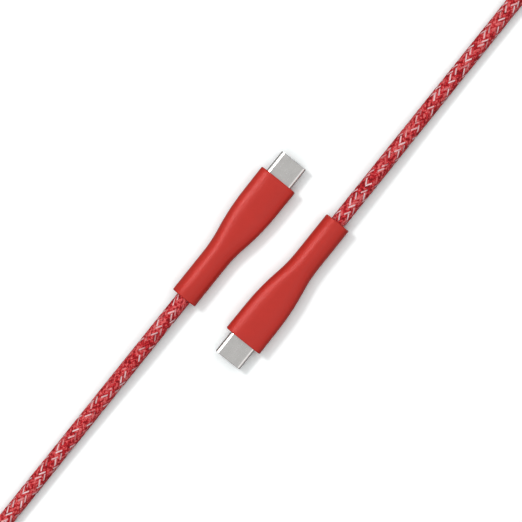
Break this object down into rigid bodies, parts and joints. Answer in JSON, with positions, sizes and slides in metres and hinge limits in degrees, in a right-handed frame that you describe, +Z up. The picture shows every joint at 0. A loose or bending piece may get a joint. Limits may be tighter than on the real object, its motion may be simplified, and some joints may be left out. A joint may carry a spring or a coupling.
{
  "type": "charging cable",
  "caption": "Braided charging cable with the same flat reversible plug in a long waisted soft boot on each end; carries power and data between two devices.",
  "frame": {"origin": "on the surface the cable rests on, midway between the two plugs, which lie side by side and point opposite ways; it is the bottom centre of the box round both plugs", "axes": "+Z up from the surface; +X and +Y as right and up in the view from above, with plug A's nose 51.27 degrees from +X towards +Y and plug B's nose the opposite way"},
  "size_m": [0.2037, 0.2085, 0.0094],
  "materials": {
    "boot_elastomer": "soft-touch moulded elastomer, matte red, fine satin sheen on its rounded edges",
    "inner_mould_plastic": "natural polyethylene, low-pressure moulded",
    "plug_steel": "nickel-plated deep-drawn steel, satin",
    "housing_plastic": "black glass-filled liquid-crystal polymer",
    "contact_gold": "copper alloy with gold flash",
    "spring_steel": "stainless spring steel, bright",
    "card_laminate": "glass-epoxy board with green solder mask",
    "capacitor_ceramic": "fired ceramic chip, tan",
    "can_steel": "tinned steel sheet, stamped",
    "ferrule_brass": "brass tube, nickel flash, crimped",
    "shield_copper": "tinned copper braid, folded back",
    "cord_jacket": "extruded elastomer jacket, dark grey",
    "cord_sleeve": "braided polyester sleeve, crimson with pale pink fleck yarns",
    "wire_red": "extruded insulation, red",
    "wire_black": "extruded insulation, black",
    "wire_green": "extruded insulation, green",
    "wire_white": "extruded insulation, white",
    "wire_blue": "extruded insulation, blue"
  },
  "bodies": {
    "root": {"plug_a_boot": "boot_elastomer", "plug_a_inner_mould": "inner_mould_plastic", "plug_a_shell": "plug_steel", "plug_a_contact_housing": "housing_plastic", "plug_a_upper_contacts": "contact_gold", "plug_a_lower_contacts": "contact_gold", "plug_a_latch": "spring_steel", "plug_a_upper_ground_spring": "spring_steel", "plug_a_lower_ground_spring": "spring_steel", "plug_a_paddle_card": "card_laminate", "plug_a_bypass_capacitor": "capacitor_ceramic", "plug_a_upper_shield_can": "can_steel", "plug_a_lower_shield_can": "can_steel", "plug_a_crimp_ferrule": "ferrule_brass", "plug_a_shield_braid": "shield_copper", "plug_a_jacket_end": "cord_jacket", "plug_a_sleeve_end": "cord_sleeve", "plug_a_power_wire": "wire_red", "plug_a_ground_wire": "wire_black", "plug_a_data_plus_wire": "wire_green", "plug_a_data_minus_wire": "wire_white", "plug_a_control_wire": "wire_blue", "plug_b_boot": "boot_elastomer", "plug_b_inner_mould": "inner_mould_plastic", "plug_b_shell": "plug_steel", "plug_b_contact_housing": "housing_plastic", "plug_b_upper_contacts": "contact_gold", "plug_b_lower_contacts": "contact_gold", "plug_b_latch": "spring_steel", "plug_b_upper_ground_spring": "spring_steel", "plug_b_lower_ground_spring": "spring_steel", "plug_b_paddle_card": "card_laminate", "plug_b_bypass_capacitor": "capacitor_ceramic", "plug_b_upper_shield_can": "can_steel", "plug_b_lower_shield_can": "can_steel", "plug_b_crimp_ferrule": "ferrule_brass", "plug_b_shield_braid": "shield_copper", "plug_b_jacket_end": "cord_jacket", "plug_b_sleeve_end": "cord_sleeve", "plug_b_power_wire": "wire_red", "plug_b_ground_wire": "wire_black", "plug_b_data_plus_wire": "wire_green", "plug_b_data_minus_wire": "wire_white", "plug_b_control_wire": "wire_blue", "cord_stretch_a": "cord_sleeve", "cord_coil": "cord_sleeve", "cord_stretch_b": "cord_sleeve"}
  },
  "joints": []
}
